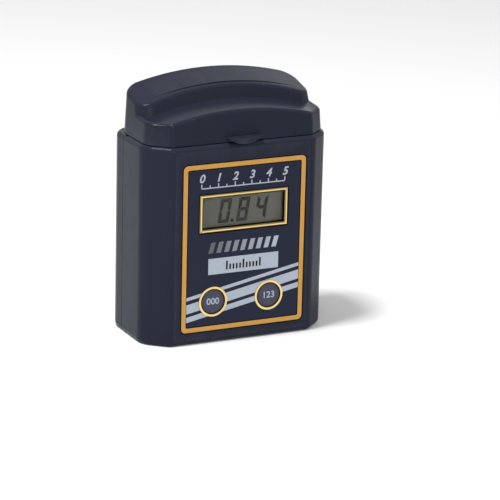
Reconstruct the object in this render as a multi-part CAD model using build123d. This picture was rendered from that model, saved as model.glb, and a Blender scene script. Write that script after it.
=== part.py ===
from build123d import *
import math
import os

# A pocket colorimeter: a two-part moulded casing with a stepped flip-up hood over the sample well,
# a front label with a display window and two keys, and the optics, board and battery inside.
# Millimetres. +Z is up, the label faces -Y, and the origin is the centre of the base.

# Casing
case_width = 80.0
case_height = 81.3
wall = 2.2
corner_cut_x = 9.2
corner_cut_y = 8.0
front_round = 5.0
side_round = 8.0
back_round = 9.0
least_round = 0.5
rim_round = 2.0
base_round = 2.0
seam_from_back = 14.0
seam_groove = 0.3
lap_length = 1.5
lap_thickness = 1.0
lap_gap = 0.05
seal_thickness = 0.5

# Flip-up hood, with heights counted from its lower edge
hood_inset = 1.4
hood_rear_inset = 5.0
hood_back_round = 8.0
hood_gap = 0.3
hood_wall = 2.0
hood_draft = 4.5
front_edge_rise = 12.4
shoulder_rise = 8.0
shoulder_blend = 18.0
skirt_crown = 126.0
tread_slope = 5.2
riser_foot_depth = 16.7
riser_foot_rise = 13.5
riser_height = 5.4
riser_lean = 19.0
riser_corner = 6.0
top_crown = 126.0
top_slope = 14.5
skirt_edge_round = 1.5
top_edge_round = 1.8
plate_setback = 1.9
plate_step = 0.45
plate_crown = 114.0
plate_margin = 4.6
tab_width = 15.0
tab_rise = 2.1
tab_drop = 2.8
tab_reach = 1.3
tab_root = 0.8
dish_radius = 9.0
dish_depth = 0.5
notch_clearance = 0.5
boss_radius = 8.5
boss_rise = 10.8
pad_margin = 0.5
pad_thickness = 2.0

# Hood hinge
knuckle_radius = 2.2
knuckle_back_gap = 0.4
knuckle_side_gap = 0.3
hood_knuckle_half = 13.9
side_knuckle_length = 9.0
side_web_depth = 3.0
hood_web_low = 0.6
hood_web_high = 4.0
pin_radius = 1.0
pin_recess = 0.2
pin_fit = 0.02
pin_running_fit = 0.05

# Label, window and keys
label_x = 0.7
label_side_gap = 3.8
label_low_gap = 4.9
label_top_gap = 7.1
label_round = 2.5
label_thickness = 0.5
label_fit = 0.1
recess_depth = 0.6
window_x = 0.5
window_drop = 20.65
window_width = 38.4
window_height = 15.5
window_fit = 0.1
frame_bar = 1.3
frame_bevel = 0.4
frame_proud = 0.3
frame_seat = 1.1
mitre_width = 0.25
mitre_depth = 0.2
pane_thickness = 1.0
key_lift = 12.3
key_xs = {"zero": -12.3, "read": 12.2}
key_radius = 5.0
key_gap = 0.15
key_front = 0.1
key_edge_round = 0.3
flange_margin = 1.0
flange_gap = 0.1
flange_thickness = 0.7
stem_radius = 1.6
stem_length = 0.7
key_travel = 0.4
travel_spare = 0.1
ring_setback = 0.15
ring_width = 0.85
ring_thickness = 0.2

# Display
glass_width = 42.0
glass_height = 21.0
glass_gap = 0.2
glass_thickness = 2.1
holder_rim = 1.5
holder_fit = 0.1
strip_end_gap = 3.0
strip_height = 2.0
strip_length = 1.9
strip_margin = 1.2

# Circuit board
board_thickness = 1.6
board_side_gap = 8.4
board_low_gap = 6.8
board_top_gap = 4.9
standoff_side_gap = 2.8
standoff_end_gap = 4.0
standoff_radius = 2.3
switch_size = 6.0
switch_height = 2.2
plunger_radius = 1.6
plunger_fit = 0.15
plunger_length = 1.6
chip_size = 7.0
chip_thickness = 1.2
chip_gap = 2.0
chip_pitch = 9.0

# Sample well and optics
board_to_well = 0.15
well_to_back = 3.65
well_radius = 12.15
well_wall = 1.4
collar_wall = 0.7
collar_fit = 0.1
well_floor = 31.0
well_floor_thickness = 2.0
well_lead = 0.5
cell_pad_thickness = 1.0
pad_ledge = 0.65
pad_gap = 0.1
deck_thickness = 2.4
deck_gap = 0.15
shelf_width = 2.0
shelf_thickness = 1.6
shelf_root = 0.2
ear_length = 8.45
ear_width = 8.0
ear_thickness = 3.0
ear_screw_from_well = 4.95
seal_rim = 0.35
seal_width = 0.7
seal_depth = 0.4
seal_proud = 0.28
beam_lift = 19.0
beam_radius = 2.0
pod_radius = 5.5
pod_length = 8.45
led_radius = 2.5
led_from_well = 1.95
led_tip_gap = 0.1
optic_radius = 4.0
optic_fit = 0.05
filter_from_well = 2.05
filter_thickness = 2.0
filter_to_can = 0.4
can_step = 0.4
can_rim = 0.6
small_board = 13.0
small_board_thickness = 1.2

# Battery and its door
battery_length = 48.5
battery_depth = 26.2
battery_height = 17.5
battery_shift = -1.75
battery_base = 3.8
battery_round = 2.0
board_to_battery = 3.3
terminal_radius = 3.4
terminal_height = 1.8
terminal_offset = 6.35
snap_gap = 0.3
snap_thickness = 3.2
snap_border = 1.2
snap_fit = 0.05
tray_wall = 1.4
tray_gap = 0.2
tray_drop = 4.0
tray_end_gap = 0.7
door_side_room = 1.0
door_base = 5.5
door_height = 18.5
door_thickness = 1.8
door_gap = 0.2
door_ledge = 1.5
rebate_gap = 0.05
barrel_radius = 1.1
door_pin_radius = 0.7
door_pin_length = 1.4
door_pin_gap = 0.3
pin_block_width = 2.4
pin_block_rise = 3.0
pin_block_set = 0.3
door_pad_gap = 0.8
door_pad_thickness = 1.0
door_pad_width = 24.0
door_pad_height = 8.0
grip_count = 4
grip_pitch = 2.0
grip_width = 14.0
grip_radius = 0.5
grip_margin = 2.5
nail_radius = 6.0
nail_depth = 1.0

# Fasteners
screw_side_gap = 6.1
screw_low = 9.5
screw_top_gap = 9.8
screw_radius = 1.5
screw_fit = 0.15
screw_length = 16.0
head_radius = 2.7
head_height = 1.8
head_fit = 0.25
head_depth = 6.5
tunnel_wall = 1.2
tunnel_set = 0.5
post_radius = 3.3
insert_radius = 2.1
insert_length = 6.0
insert_set = 0.1
small_radius = 1.0
small_fit = 0.1
small_head = 1.9
small_head_height = 1.3
small_head_fit = 0.2
small_head_set = 0.1
board_screw_length = 5.0
deck_screw_tip = 0.4
cross_width = 0.6
cross_depth = 0.7
cross_reach = 1.2
case_cross_depth = 1.0

# Working lengths: what a cut runs past a face, what a joined piece runs into another, and a span
# that is longer than the whole part
over = 1.0
bite = 0.1
beyond = 200.0

# Depth of the casing: the display and the board stand in front of both the well and the battery,
# and the deeper of the two stacks sets it
well_outer = well_radius + well_wall
glass_depth = frame_seat + pane_thickness + glass_gap
board_depth = glass_depth + glass_thickness + strip_length
board_rear_depth = board_depth + board_thickness
well_depth = board_rear_depth + board_to_well + well_outer
door_stack = door_pad_gap + door_pad_thickness + door_thickness
well_stack = well_depth + well_outer + well_to_back + wall
battery_stack = board_rear_depth + board_to_battery + battery_depth + door_stack
case_depth = max(well_stack, battery_stack)

# Places that follow from the sizes
front = -case_depth / 2
back = case_depth / 2
half_width = case_width / 2
inside_front = front + wall
inside_back = back - wall
seam = back - seam_from_back
hood_base = case_height + hood_gap
hood_back = back - hood_rear_inset
deck_low = case_height - deck_thickness
shelf_low = deck_low - shelf_thickness
hinge_y = hood_back + knuckle_radius + knuckle_back_gap
hinge_z = hood_base + knuckle_radius
tab_front = front - tab_reach
tab_top = hood_base + tab_rise
boss_floor = hood_base + boss_rise
label_width = case_width - 2 * corner_cut_x - 2 * label_side_gap
label_height = case_height - label_low_gap - label_top_gap
label_z = label_low_gap + label_height / 2
label_front = front + recess_depth - label_thickness
label_rear = front + recess_depth
window_z = label_low_gap + label_height - window_drop
key_z = label_low_gap + key_lift
key_hole = key_radius + key_gap
flange_front = inside_front + flange_gap
stem_end = flange_front + flange_thickness + stem_length
glass_front = front + glass_depth
strip_width = glass_width - 2 * strip_end_gap
board_front = front + board_depth
board_rear = front + board_rear_depth
board_half = half_width - wall - board_side_gap
board_low = wall + board_low_gap
board_top = deck_low - board_top_gap
well_y = front + well_depth
pad_pocket_radius = well_radius - pad_ledge
pad_pocket_floor = well_floor - cell_pad_thickness
ear_screw_x = well_outer + ear_screw_from_well
beam_z = well_floor + beam_lift
pod_end = well_outer + pod_length
filter_start = well_outer + filter_from_well
battery_x0 = battery_shift - battery_length / 2
battery_x1 = battery_shift + battery_length / 2
door_half_width = max(-battery_x0, battery_x1) + door_side_room
battery_y1 = back - door_stack
battery_y0 = battery_y1 - battery_depth
battery_top = battery_base + battery_height
battery_z = battery_base + battery_height / 2
door_top = door_base + door_height
door_axis_y = back - barrel_radius
head_seat = back - head_depth
small_hole = small_radius + small_fit
screw_hole = screw_radius + screw_fit
head_hole = head_radius + head_fit
pin_bore = pin_radius + pin_running_fit
screw_x = half_width - screw_side_gap
standoff_x = board_half - standoff_side_gap
screw_zs = (screw_low, case_height - screw_top_gap)
standoff_zs = (board_low + standoff_end_gap, board_top - standoff_end_gap)
screw_spots = [(x, z) for x in (-screw_x, screw_x) for z in screw_zs]
board_spots = [(x, z) for x in (-standoff_x, standoff_x) for z in standoff_zs]


def box(x0, x1, y0, y1, z0, z1):
    """A block between two corners."""
    centre = ((x0 + x1) / 2, (y0 + y1) / 2, (z0 + z1) / 2)
    return Pos(*centre) * Box(abs(x1 - x0), abs(y1 - y0), abs(z1 - z0))


def upright_box(width, height, x, z, y0, y1):
    """A block centred on a place of the front, between two depths."""
    return box(x - width / 2, x + width / 2, y0, y1, z - height / 2, z + height / 2)


def rod_x(radius, x0, x1, y, z):
    """A round bar along X."""
    return Pos((x0 + x1) / 2, y, z) * Rot(0, 90, 0) * Cylinder(radius, abs(x1 - x0))


def rod_y(radius, x, z, y0, y1):
    """A round bar along Y."""
    return Pos(x, (y0 + y1) / 2, z) * Rot(90, 0, 0) * Cylinder(radius, y1 - y0)


def rod_z(radius, x, y, z0, z1):
    """A round bar along Z."""
    return Pos(x, y, (z0 + z1) / 2) * Cylinder(radius, z1 - z0)


def plate_y(width, height, x, z, y0, y1, rounding):
    """A plate with rounded corners that stands upright, between two depths."""
    lying = extrude(RectangleRounded(width, height, rounding), amount=y1 - y0)
    return Pos(x, y1, z) * Rot(90, 0, 0) * lying


def plan(rear, rear_round, inset):
    """The outline from above: a flat front, slanted front corners and rounded rear ones."""
    flat = half_width - corner_cut_x
    face = Polygon(
        (-flat, front),
        (flat, front),
        (half_width, front + corner_cut_y),
        (half_width, rear),
        (-half_width, rear),
        (-half_width, front + corner_cut_y),
        align=None,
    )
    if inset:
        face = offset(face, amount=-inset, kind=Kind.INTERSECTION)
    side = half_width - inset
    at_front = [v for v in face.vertices() if abs(v.Y - front - inset) < bite]
    face = fillet(at_front, max(front_round - inset, least_round))
    at_side = [v for v in face.vertices() if abs(abs(v.X) - side) < bite and v.Y < rear - inset - over]
    face = fillet(at_side, max(side_round - inset, least_round))
    at_rear = [v for v in face.vertices() if abs(v.Y - rear + inset) < bite]
    return fillet(at_rear, max(rear_round - inset, least_round))


def slab(y0, y1, z0=-over, z1=case_height + over):
    """A slice of space right across the part, between two depths."""
    return box(-case_width, case_width, y0, y1, z0, z1)


def prism(face, z0, z1):
    """An outline raised between two heights."""
    return Pos(0, 0, z0) * extrude(face, amount=z1 - z0)


def case_prism(inset, z0, z1):
    return prism(plan(back, back_round, inset), z0, z1)


def hood_plan(inset):
    """The outline of the hood's lower edge."""
    rear = hood_back + hood_inset
    return plan(rear, hood_back_round + hood_inset, hood_inset + inset)


def save(shape, name):
    """Writes a node, as its one solid or as a group of its separate solids."""
    solids = shape.solids()
    shape = solids[0] if len(solids) == 1 else Compound(children=list(solids))
    export_step(shape, os.path.join("parts", name + ".step"))


# Hood

draft_rate = math.tan(math.radians(hood_draft))
lean_rate = math.tan(math.radians(riser_lean))
riser_foot_y = front + riser_foot_depth
riser_foot_z = hood_base + riser_foot_rise
riser_top_z = riser_foot_z + riser_height
riser_top_y = riser_foot_y + riser_height * lean_rate
skirt_end = riser_top_y + riser_corner + over


def roof(radius, apex, at_y, slope, shoulder=None):
    """All that lies under an arched roof, which peaks at x = 0 and rises to the rear.

    With a shoulder height, the arch blends into level ground at both sides.
    """
    field = Rectangle(2 * case_width, case_height)
    profile = Pos(0, -radius) * Circle(radius) & field
    if shoulder is not None:
        level = shoulder - apex
        profile += Pos(0, level - case_height / 2) * field
        crease = [v for v in profile.vertices() if abs(v.Y - level) < bite and abs(v.X) < case_width - over]
        profile = fillet(crease, shoulder_blend)
    upright = Rot(90, 0, 0) * extrude(profile, amount=case_width, both=True)
    return Pos(0, at_y, apex) * Rot(slope, 0, 0) * upright


def tapered(inset, top):
    """The hood's outline raised from its lower edge, drawn in by the draft on the way up."""
    foot = Pos(0, 0, hood_base) * hood_plan(inset)
    head = Pos(0, 0, top) * hood_plan(inset + (top - hood_base) * draft_rate)
    return loft([foot, head], ruled=True)


def hood_skirt(inset, drop):
    """The lower tier, whose roof arches over the middle and levels out at the shoulders."""
    apex = hood_base + front_edge_rise - drop
    level = hood_base + shoulder_rise - drop
    body = tapered(inset, riser_top_z) & slab(front, skirt_end, 0, beyond)
    return body & roof(skirt_crown, apex, front + hood_inset, tread_slope, level)


def riser_plan(z, inset):
    """The upper tier's outline at one height: its front and sides lean in, its rear is upright."""
    drawn_in = inset + (z - hood_base) * draft_rate
    front_line = riser_foot_y + (z - riser_foot_z) * lean_rate + inset
    side = half_width - hood_inset - drawn_in
    rear = hood_back - inset
    face = Polygon(
        (-side, front_line),
        (side, front_line),
        (side, rear),
        (-side, rear),
        align=None,
    )
    face = fillet([v for v in face.vertices() if v.Y < rear - over], riser_corner - inset)
    at_rear = [v for v in face.vertices() if v.Y > rear - over]
    return Pos(0, 0, z) * fillet(at_rear, hood_back_round - drawn_in)


def hood_block(inset, drop):
    """The upper tier: a leaning riser under an arched roof that climbs to the rear."""
    low = riser_plan(hood_base, inset)
    high = riser_plan(riser_top_z + riser_height, inset)
    return loft([low, high], ruled=True) & roof(top_crown, riser_top_z - drop, riser_top_y, top_slope)


def roof_edges(shape, low, rearmost):
    """The rim of a tier's roof, up to a depth: high edges that run more level than upright."""
    found = []
    for edge in shape.edges():
        size = edge.bounding_box().size
        middle = edge.center()
        if middle.Z > low and middle.Y < rearmost and math.hypot(size.X, size.Y) > size.Z:
            found.append(edge)
    return found


def hood_top_plate():
    """The slightly raised field on the top, which fades out towards both sides."""
    side = half_width - hood_inset - plate_margin
    top = riser_top_z + plate_step
    field = box(-side, side, riser_top_y + plate_setback, hood_back - plate_margin, riser_foot_z, beyond)
    return field & roof(plate_crown, top, riser_top_y, top_slope)


def thumb_tab(grow, y0, y1):
    """A lens-shaped lip: flat on top, with a curved lower edge seen from the front."""
    half = tab_width / 2
    radius = (half ** 2 + tab_drop ** 2) / (2 * tab_drop)
    lowest = tab_top - tab_drop
    disc = rod_y(radius + grow, 0, lowest + radius, y0, y1)
    return disc & box(-tab_width, tab_width, y0, y1, lowest - over, tab_top)


def hood():
    low = hood_base + shoulder_rise / 2
    outer = fillet(roof_edges(hood_skirt(0, 0), low, skirt_end - bite), skirt_edge_round)
    outer += fillet(roof_edges(hood_block(0, 0), riser_foot_z - hood_wall, back), top_edge_round)
    outer += hood_top_plate()
    body = outer - hood_skirt(hood_wall, hood_wall) - hood_block(hood_wall, hood_wall)
    body += rod_z(boss_radius, 0, well_y, boss_floor, beyond) & outer
    tab = thumb_tab(0, tab_front, front + hood_inset + tab_root)
    body += tab - Pos(0, tab_front, tab_top - dish_depth + dish_radius) * Sphere(dish_radius)
    half = hood_knuckle_half
    web_z = (hood_base + hood_web_low, hood_base + hood_web_high)
    body += box(-half, half, hood_back - over, hinge_y, *web_z)
    body += rod_x(knuckle_radius, -half, half, hinge_y, hinge_z)
    return body - rod_x(pin_bore, -half_width, half_width, hinge_y, hinge_z)


def hood_pad():
    """A soft disc under the boss, which presses on the vial's cap."""
    return rod_z(boss_radius - pad_margin, 0, well_y, boss_floor - pad_thickness, boss_floor)


def hinge_pin():
    half = hood_knuckle_half + knuckle_side_gap + side_knuckle_length - pin_recess
    return rod_x(pin_radius, -half, half, hinge_y, hinge_z)


# Casing

def case_block():
    block = case_prism(0, 0, case_height)
    block = fillet(block.edges().group_by(Axis.Z)[-1], rim_round)
    return fillet(block.edges().group_by(Axis.Z)[0], base_round)


def cavity():
    return case_prism(wall, wall, case_height + over)


def deck_shelf():
    """A ledge round the inside of both shells that the deck rests on."""
    ring = case_prism(wall - shelf_root, shelf_low, deck_low)
    return ring - case_prism(wall + shelf_width, shelf_low - over, deck_low + over)


def front_shell():
    """The front half, with the lap for the rear half's tongue, posts, standoffs and all openings."""
    body = case_block() & slab(front - over, seam)
    body -= cavity()
    body += deck_shelf() & slab(front, seam - lap_length - over)
    lap = case_prism(lap_thickness, lap_thickness, case_height + over)
    body -= lap & slab(seam - lap_length - seal_thickness, seam + over)
    solid = case_prism(lap_thickness, 0, case_height)
    for x, z in screw_spots:
        body += rod_y(post_radius, x, z, front + wall / 2, seam) & solid
        body -= rod_y(insert_radius, x, z, seam - insert_length, seam + over)
        body -= rod_y(screw_hole, x, z, head_seat - screw_length - over, seam + over)
    for x, z in board_spots:
        body += rod_y(standoff_radius, x, z, front + wall / 2, board_front)
        body -= rod_y(small_radius, x, z, board_rear - board_screw_length - bite, board_front + over)
    width = label_width + 2 * label_fit
    height = label_height + 2 * label_fit
    body -= plate_y(width, height, label_x, label_z, front - over, label_rear, label_round)
    width = window_width + 2 * window_fit
    height = window_height + 2 * window_fit
    body -= upright_box(width, height, window_x, window_z, front, inside_front + over)
    for x in key_xs.values():
        body -= rod_y(key_hole, x, key_z, front - over, inside_front + over)
    return body - thumb_tab(notch_clearance, front - over, inside_front)


def back_shell():
    """The rear half, with tongue, screw tunnels, the door's opening and the hinge's knuckles."""
    edge = seam + seam_groove
    body = case_block() & slab(edge, back + over)
    body -= cavity()
    tongue = case_prism(lap_thickness + lap_gap, lap_thickness + lap_gap, case_height) - cavity()
    body += tongue & slab(seam - lap_length, edge + over, 0, shelf_low)
    body += deck_shelf() & slab(edge + lap_length, back)
    solid = case_prism(tunnel_set, 0, case_height)
    for x, z in screw_spots:
        body += rod_y(head_hole + tunnel_wall, x, z, edge, back) & solid
        body -= rod_y(head_hole, x, z, head_seat, back + over)
        body -= rod_y(screw_hole, x, z, seam - lap_length - over, back)
    body -= door_opening()
    body += pin_blocks()
    body -= nail_notch()
    for side in (-1, 1):
        pin_end = door_half_width + door_pin_length + door_pin_gap
        pin_hole = door_pin_radius + pin_running_fit
        body -= rod_x(pin_hole, side * door_half_width, side * pin_end, door_axis_y, door_base)
        x0 = side * (hood_knuckle_half + knuckle_side_gap)
        x1 = x0 + side * side_knuckle_length
        body += rod_x(knuckle_radius, x0, x1, hinge_y, hinge_z)
        web_y = (inside_back + bite, hinge_y + knuckle_radius)
        body += box(x0, x1, *web_y, case_height - side_web_depth, hinge_z)
    return body - rod_x(pin_radius + pin_fit, -half_width, half_width, hinge_y, hinge_z)


def door_opening():
    """The hole in the back for the battery door, with a rebate round its sides and top."""
    half = door_half_width + door_gap
    low = door_base - barrel_radius - door_gap
    rebate = back - door_thickness - rebate_gap
    hole = box(-half, half, rebate, back + over, low, door_top + door_gap)
    narrow = half - door_ledge
    hole += box(-narrow, narrow, inside_back - over, back + over, low, door_top - door_ledge)
    return hole + rod_x(barrel_radius + door_gap, -half, half, door_axis_y, door_base)


def pin_blocks():
    """Thickened blocks beside the lower corners of the opening, which take the door's pins."""
    inner = door_half_width + door_gap
    blocks = []
    for side in (-1, 1):
        y = (inside_back - over, back - pin_block_set)
        z = (wall / 2, door_base + pin_block_rise)
        blocks.append(box(side * inner, side * (inner + pin_block_width), *y, *z))
    return blocks[0] + blocks[1]


def nail_notch():
    """A shallow scoop over the door, where a nail gets under its top edge."""
    return Pos(0, back + nail_radius - nail_depth, door_top + door_gap) * Sphere(nail_radius)


def top_deck():
    """The plate under the hood, with the mouth of the well and a groove for the seal."""
    body = case_prism(wall + deck_gap, deck_low, case_height)
    mouth = well_radius + collar_wall + collar_fit
    body -= rod_z(mouth, 0, well_y, deck_low - over, case_height + over)
    body -= seal_ring(case_height - seal_depth, case_height + over)
    for x in (-ear_screw_x, ear_screw_x):
        body -= rod_z(small_hole, x, well_y, deck_low - over, case_height + over)
        seat = case_height - small_head_height
        body -= rod_z(small_head + small_head_fit, x, well_y, seat, case_height + over)
    return body


def seal_plan(inset):
    """The seal's outline: just inside the deck's edge, and under the hood's rear wall."""
    edge = wall + deck_gap + seal_rim
    rear = hood_back - seal_rim + edge
    return plan(rear, hood_back_round + edge, edge + inset)


def seal_ring(z0, z1):
    return prism(seal_plan(0), z0, z1) - prism(seal_plan(seal_width), z0 - over, z1 + over)


def deck_seal():
    return seal_ring(case_height - seal_depth, case_height + seal_proud)


def case_seal():
    """A thin strip in the seam, between the rear shell's tongue and the front shell."""
    outer = lap_thickness + lap_gap
    strip = case_prism(outer, outer, case_height) - cavity()
    y1 = seam - lap_length
    return strip & slab(y1 - seal_thickness, y1, 0, shelf_low)


# Label, window and keys

def overlay():
    """The label sheet, with a window for the display frame and a hole for each key."""
    body = plate_y(
        label_width, label_height, label_x, label_z, label_front, label_rear, label_round - label_fit
    )
    width = window_width + 2 * window_fit
    height = window_height + 2 * window_fit
    body -= upright_box(width, height, window_x, window_z, label_front - over, label_rear + over)
    for x in key_xs.values():
        body -= rod_y(key_hole, x, key_z, label_front - over, label_rear + over)
    return body


def window_bezel():
    """A metal frame with a ridge along each bar and mitred corners, let into the window."""
    y0 = label_front - frame_proud
    y1 = front + frame_seat
    body = upright_box(window_width, window_height, window_x, window_z, y0, y1)
    inner_width = window_width - 2 * frame_bar
    inner_height = window_height - 2 * frame_bar
    body -= upright_box(inner_width, inner_height, window_x, window_z, y0 - over, y1 + over)
    body = chamfer(body.edges().group_by(Axis.Y)[0], frame_bevel)
    for side in (-1, 1):
        for end in (-1, 1):
            x = window_x + side * (window_width - frame_bar) / 2
            z = window_z + end * (window_height - frame_bar) / 2
            groove = Box(2 * frame_bar, 2 * mitre_depth, mitre_width)
            body -= Pos(x, y0, z) * Rot(0, -45 * side * end, 0) * groove
    return body


def display_window():
    y0 = front + frame_seat
    return upright_box(window_width, window_height, window_x, window_z, y0, y0 + pane_thickness)


def key_rings():
    """Two flat rings on the label, one round each key."""
    inner = key_hole + ring_setback
    rings = []
    for x in key_xs.values():
        disc = rod_y(inner + ring_width, x, key_z, label_front - ring_thickness, label_front)
        rings.append(disc - rod_y(inner, x, key_z, label_front - over, label_front + over))
    return Compound(children=rings)


def button(x):
    """A round key: a cap that stands in its hole, with a flange behind the wall and a stem."""
    cap = rod_y(key_radius, x, key_z, front + key_front, flange_front + bite)
    cap = fillet(cap.edges().group_by(Axis.Y)[0], key_edge_round)
    flange_rear = flange_front + flange_thickness
    flange = rod_y(key_radius + flange_margin, x, key_z, flange_front, flange_rear)
    stem = rod_y(stem_radius, x, key_z, flange_rear - bite, stem_end)
    return cap + flange + stem


def plunger(x):
    return rod_y(plunger_radius, x, key_z, stem_end, stem_end + plunger_length)


def switch_body(x):
    """A switch on the board, with a bore deep enough for the plunger's travel."""
    y0 = board_front - switch_height
    body = upright_box(switch_size, switch_size, x, key_z, y0, board_front)
    bore_end = stem_end + plunger_length + key_travel + travel_spare
    return body - rod_y(plunger_radius + plunger_fit, x, key_z, y0 - over, bore_end)


# Display

def lcd_glass():
    y1 = glass_front + glass_thickness
    return upright_box(glass_width, glass_height, window_x, window_z, glass_front, y1)


def lcd_holder():
    """A moulded frame on the board, which surrounds the display cell."""
    width = glass_width + 2 * holder_fit
    height = glass_height + 2 * holder_fit
    rim = 2 * holder_rim
    frame = upright_box(width + rim, height + rim, window_x, window_z, glass_front, board_front)
    hole = upright_box(width, height, window_x, window_z, glass_front - over, board_front + over)
    return frame - hole


def zebra_strips():
    """Two elastomer strips between the cell's upper and lower edge and the board."""
    y0 = glass_front + glass_thickness
    reach = glass_height / 2 - strip_margin - strip_height / 2
    strips = []
    for z in (window_z - reach, window_z + reach):
        strips.append(upright_box(strip_width, strip_height, window_x, z, y0, board_front))
    return Compound(children=strips)


# Circuit board

def main_board():
    body = box(-board_half, board_half, board_front, board_rear, board_low, board_top)
    for x, z in board_spots:
        body -= rod_y(small_hole, x, z, board_front - over, board_rear + over)
    return body


def board_chips():
    """Packages on the board's rear side, two at each side of the well."""
    chips = []
    for side in (-1, 1):
        for row in (0, 1):
            x = side * (well_outer + chip_gap + chip_size / 2)
            z = well_floor + chip_size / 2 + row * chip_pitch
            y1 = board_rear + chip_thickness
            chips.append(upright_box(chip_size, chip_size, x, z, board_rear, y1))
    return Compound(children=chips)


def cross_slot(depth):
    """A cross recess that opens at the origin, upwards."""
    arm = Box(small_head * cross_reach, cross_width, depth)
    return Pos(0, 0, -depth / 2) * (arm + Rot(0, 0, 90) * arm)


def rear_screw(x, z, seat, radius, length, head, head_thickness, slot):
    """A screw driven from the back, with its head on a seat."""
    top = seat + head_thickness
    body = rod_y(radius, x, z, seat - length, seat) + rod_y(head, x, z, seat, top)
    return body - Pos(x, top, z) * Rot(-90, 0, 0) * cross_slot(slot)


def board_screws():
    sizes = (small_radius, board_screw_length, small_head, small_head_height, cross_depth)
    return Compound(children=[rear_screw(x, z, board_rear, *sizes) for x, z in board_spots])


# Sample well and optics

def cell_holder():
    """The well with a closed floor, two ears under the deck and an optics arm on each side."""
    body = rod_z(well_outer, 0, well_y, pad_pocket_floor - well_floor_thickness, deck_low)
    body += rod_z(well_radius + collar_wall, 0, well_y, deck_low, case_height)
    ear = well_outer + ear_length
    half = ear_width / 2
    body += box(-ear, ear, well_y - half, well_y + half, deck_low - ear_thickness, deck_low)
    body += rod_x(pod_radius, -pod_end, pod_end, well_y, beam_z)
    body -= rod_z(well_radius, 0, well_y, well_floor, case_height + over)
    body -= rod_z(pad_pocket_radius, 0, well_y, pad_pocket_floor, well_floor + over)
    lead = Cone(well_radius, well_radius + well_lead, well_lead)
    body -= Pos(0, well_y, case_height - well_lead / 2) * lead
    body -= rod_x(beam_radius, -pod_end, pod_end, well_y, beam_z)
    lamp_start = well_outer + led_from_well
    body -= rod_x(led_radius + optic_fit, -pod_end - over, -lamp_start, well_y, beam_z)
    body -= rod_x(optic_radius + optic_fit, filter_start, pod_end + over, well_y, beam_z)
    for x in (-ear_screw_x, ear_screw_x):
        body -= rod_z(small_radius, x, well_y, deck_low - ear_thickness - over, deck_low + over)
    return body


def cell_pad():
    """A soft disc in a pocket of the floor, level with the ledge round it."""
    return rod_z(pad_pocket_radius - pad_gap, 0, well_y, pad_pocket_floor, well_floor)


def led():
    """A domed lamp in the left arm, with its flat end on the small board."""
    dome = -well_outer - led_from_well - led_tip_gap - led_radius
    return rod_x(led_radius, -pod_end, dome, well_y, beam_z) + Pos(dome, well_y, beam_z) * Sphere(led_radius)


def small_board_at(x0, x1):
    half = small_board / 2
    return box(x0, x1, well_y - half, well_y + half, beam_z - half, beam_z + half)


def led_board():
    return small_board_at(-pod_end - small_board_thickness, -pod_end)


def detector_board():
    return small_board_at(pod_end, pod_end + small_board_thickness)


def optical_filter():
    return rod_x(optic_radius, filter_start, filter_start + filter_thickness, well_y, beam_z)


def detector():
    """A photodiode in a round can with a rim at its rear end."""
    can_start = filter_start + filter_thickness + filter_to_can
    can = rod_x(optic_radius - can_step, can_start, pod_end, well_y, beam_z)
    return can + rod_x(optic_radius, pod_end - can_rim, pod_end, well_y, beam_z)


def deck_screws():
    """Two screws that hold the well's ears under the deck."""
    seat = case_height - small_head_height
    top = case_height - small_head_set
    tip = deck_low - ear_thickness + deck_screw_tip
    screws = []
    for x in (-ear_screw_x, ear_screw_x):
        body = rod_z(small_radius, x, well_y, tip, seat) + rod_z(small_head, x, well_y, seat, top)
        screws.append(body - Pos(x, well_y, top) * cross_slot(cross_depth))
    return Compound(children=screws)


# Battery

def battery():
    block = box(battery_x0, battery_x1, battery_y0, battery_y1, battery_base, battery_top)
    return fillet(block.edges().filter_by(Axis.X), battery_round)


def terminal_ys():
    middle = (battery_y0 + battery_y1) / 2
    return (middle - terminal_offset, middle + terminal_offset)


def battery_terminals():
    end = battery_x1 + terminal_height
    studs = [rod_x(terminal_radius, battery_x1, end, y, battery_z) for y in terminal_ys()]
    return Compound(children=studs)


def battery_snap():
    """The snap connector that grips both terminals."""
    y0, y1 = terminal_ys()
    x0 = battery_x1 + snap_gap
    reach = terminal_radius + snap_border
    body = box(x0, x0 + snap_thickness, y0 - reach, y1 + reach, battery_z - reach, battery_z + reach)
    end = battery_x1 + terminal_height
    for y in (y0, y1):
        body -= rod_x(terminal_radius + snap_fit, x0 - over, end, y, battery_z)
    return body


def battery_tray():
    """A cradle on the floor that is open to the door and above the battery."""
    x0 = battery_x0 - tray_gap
    x1 = battery_x1 + snap_gap + snap_thickness + tray_end_gap
    y0 = battery_y0 - tray_gap
    y1 = battery_y1 + tray_gap
    rim = battery_top - tray_drop
    body = box(x0 - tray_wall, x1 + tray_wall, y0 - tray_wall, y1, battery_base - tray_wall, rim)
    return body - box(x0, x1, y0, y1 + over, battery_base, rim + over)


def battery_door():
    """A flush door with a barrel along its lower edge, two end pins and grip grooves near its top."""
    half = door_half_width
    body = box(-half, half, back - door_thickness, back, door_base, door_top)
    body += rod_x(barrel_radius, -half, half, door_axis_y, door_base)
    pin_end = half + door_pin_length
    body += rod_x(door_pin_radius, -pin_end, pin_end, door_axis_y, door_base)
    for index in range(grip_count):
        z = door_top - grip_margin - index * grip_pitch
        body -= rod_x(grip_radius, -grip_width / 2, grip_width / 2, back, z)
    return body


def door_pad():
    """A foam block on the door that keeps the battery from rattling."""
    y1 = back - door_thickness
    return upright_box(door_pad_width, door_pad_height, 0, battery_z, y1 - door_pad_thickness, y1)


# Case fasteners

def case_screws():
    sizes = (screw_radius, screw_length, head_radius, head_height, case_cross_depth)
    return Compound(children=[rear_screw(x, z, head_seat, *sizes) for x, z in screw_spots])


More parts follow.
